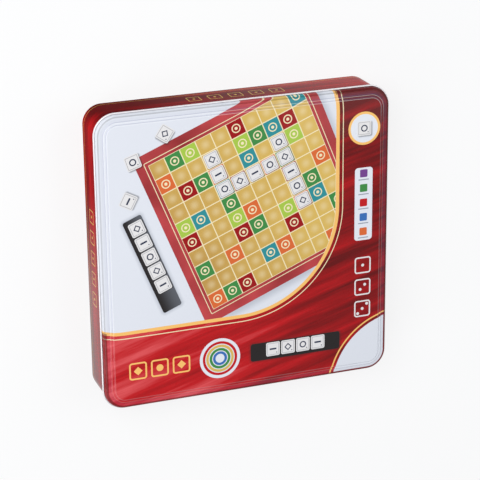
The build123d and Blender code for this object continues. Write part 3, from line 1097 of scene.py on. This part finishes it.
def makeBooklet():
    # folded sheets nested in one another, each bent round the spine
    low, high = inMm(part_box("rules_booklet"))
    leaf, leaves = booklet["leaf"], booklet["leaves"]
    middleZ, step = (low.z + high.z) / 2, leaf + (high.z - low.z - 2 * leaves * leaf) / (2 * leaves - 1)
    cover, page = makePaper("booklet_cover_paper", True), makePaper("booklet_page_paper", False)
    draw = random.Random(booklet["seed"])
    for number in range(leaves):
        rise = (leaves - 0.5 - number) * step
        front = high.x - number * booklet["creep"] - draw.uniform(0, booklet["spread"])
        centre = low.x + leaf / 2 + (leaves - 0.5) * step
        spine = arcPoints((centre, 0), rise, -90, -180, booklet["spineSteps"])
        middleLine = [Vector((front, -rise)), *spine, Vector((front, rise))]
        section = offsetLine(middleLine, -leaf / 2) + offsetLine(middleLine, leaf / 2)[::-1]
        rings = [[Vector((point.x, y, middleZ + point.y)) for point in section] for y in (low.y, high.y)]
        mesh = makeMesh(f"booklet_leaf_{number + 1}", rings, True, True, [0], [page if number else cover])
        mesh.flip_normals()
        mesh.polygons.foreach_set("use_smooth", [False] * len(mesh.polygons))
        addPiece(mesh.name, mesh, "booklet", [] if number else ["rules_booklet"])


def makeStaples():
    # wire crowns that lie along the spine, with both legs pushed through the fold
    low, high = inMm(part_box("rules_booklet"))
    radius, half = booklet["wireRadius"], booklet["stapleLength"] / 2
    crown, inner = low.x - radius / 2, low.x + booklet["stapleDepth"]
    wire = makeBareTin("staple_wire", rgb("c9ccd0"), 0.9)
    for number, at in enumerate(booklet["staplesAt"]):
        path = roundedLine([(inner, at - half), (crown, at - half), (crown, at + half), (inner, at + half)],
                           2 * [booklet["wireBend"]])
        turns = [math.radians(360 / booklet["wireSides"] * turn) for turn in range(booklet["wireSides"])]
        rings = []
        for point, moved in zip(path, offsetLine(path, radius)):
            side = moved - point
            rings.append([Vector((point.x + side.x * math.cos(a), point.y + side.y * math.cos(a),
                                  (low.z + high.z) / 2 + radius * math.sin(a))) for a in turns])
        mesh = makeMesh(f"booklet_staple_{number + 1}", rings, True, True, (len(rings) - 1) * [0], [wire])
        addPiece(mesh.name, mesh, "booklet")


makeBooklet()
makeStaples()
print("booklet made")


studio = {
    "cameraAt": (-0.53505, 0.57215, 1.49665), "lens": 141.297,
    "cameraAxes": ((0.938256, 0.127932, -0.321417), (-0.010633, 0.939334, 0.34284),
                   (0.345778, -0.318254, 0.882696)),
    "floorHalf": 6, "worldLight": 0.36, "worldColour": (0.84, 0.9, 1),
    "lamps": (
        # name, place, width, height, power in watts
        ("key_lamp", (-0.9, 0.75, 1.3), 1.0, 1.0, 16),
        ("side_lamp", (-1.3, -0.5, 0.7), 0.8, 0.8, 6),
        ("fill_lamp", (0.9, 0.3, 1.2), 1.2, 1.2, 6.5),
    ),
}


def makeStudio():
    camera = addObject("camera", bpy.data.cameras.new("camera"))
    camera.data.lens = studio["lens"]
    camera.data.sensor_width = 36
    camera.matrix_world = Matrix.Translation(studio["cameraAt"]) @ Matrix(studio["cameraAxes"]).to_4x4()
    bpy.context.scene.camera = camera
    bpy.context.scene.view_settings.view_transform = "Standard"
    for name, place, width, height, power in studio["lamps"]:
        lamp = bpy.data.lights.new(name, "AREA")
        lamp.shape = "RECTANGLE"
        lamp.size, lamp.size_y, lamp.energy = width, height, power
        aim = Vector(place).to_track_quat("Z", "Y").to_matrix().to_4x4()
        addObject(name, lamp).matrix_world = Matrix.Translation(place) @ aim

    world = bpy.data.worlds.new("studio")
    world.use_nodes = True
    bpy.context.scene.world = world
    sky = Graph(world.node_tree)
    seen = backgroundRays(sky)
    lit = sky.node("ShaderNodeBackground", inputs={0: studio["worldColour"], 1: studio["worldLight"]})
    shown = sky.node("ShaderNodeBackground", inputs={0: (1, 1, 1), 1: 1.0})
    blended = sky.node("ShaderNodeMixShader", inputs={0: seen, 1: lit, 2: shown})
    sky.node("ShaderNodeOutputWorld", inputs={0: blended}, output=None)

    half = studio["floorHalf"]
    mesh = bpy.data.meshes.new("floor")
    corners = [(-half, -half, 0), (half, -half, 0), (half, half, 0), (-half, half, 0)]
    mesh.from_pydata(corners, [], [(0, 1, 2, 3)])
    floor = addObject("floor", mesh)
    look = Look("pale_floor")
    matt = look.node("ShaderNodeBsdfDiffuse", inputs={0: (0.9, 0.9, 0.9)})
    glow = look.node("ShaderNodeEmission", inputs={0: (1, 1, 1), 1: 1.0})
    surface = look.node("ShaderNodeMixShader", inputs={0: backgroundRays(look) * 0.8, 1: matt, 2: glow})
    look.node("ShaderNodeOutputMaterial", inputs={0: surface}, output=None)
    mesh.materials.append(look.material)


def backgroundRays(graph):
    # 1 for rays that see the backdrop, directly or in a reflection
    path = graph.node("ShaderNodeLightPath", output=None)
    names = ("Is Camera Ray", "Is Glossy Ray", "Is Transmission Ray")
    seen, glossy, through = (Wire(graph, path.outputs[name]) for name in names)
    return seen.atLeast(glossy).atLeast(through)


makeStudio()
print("studio made")
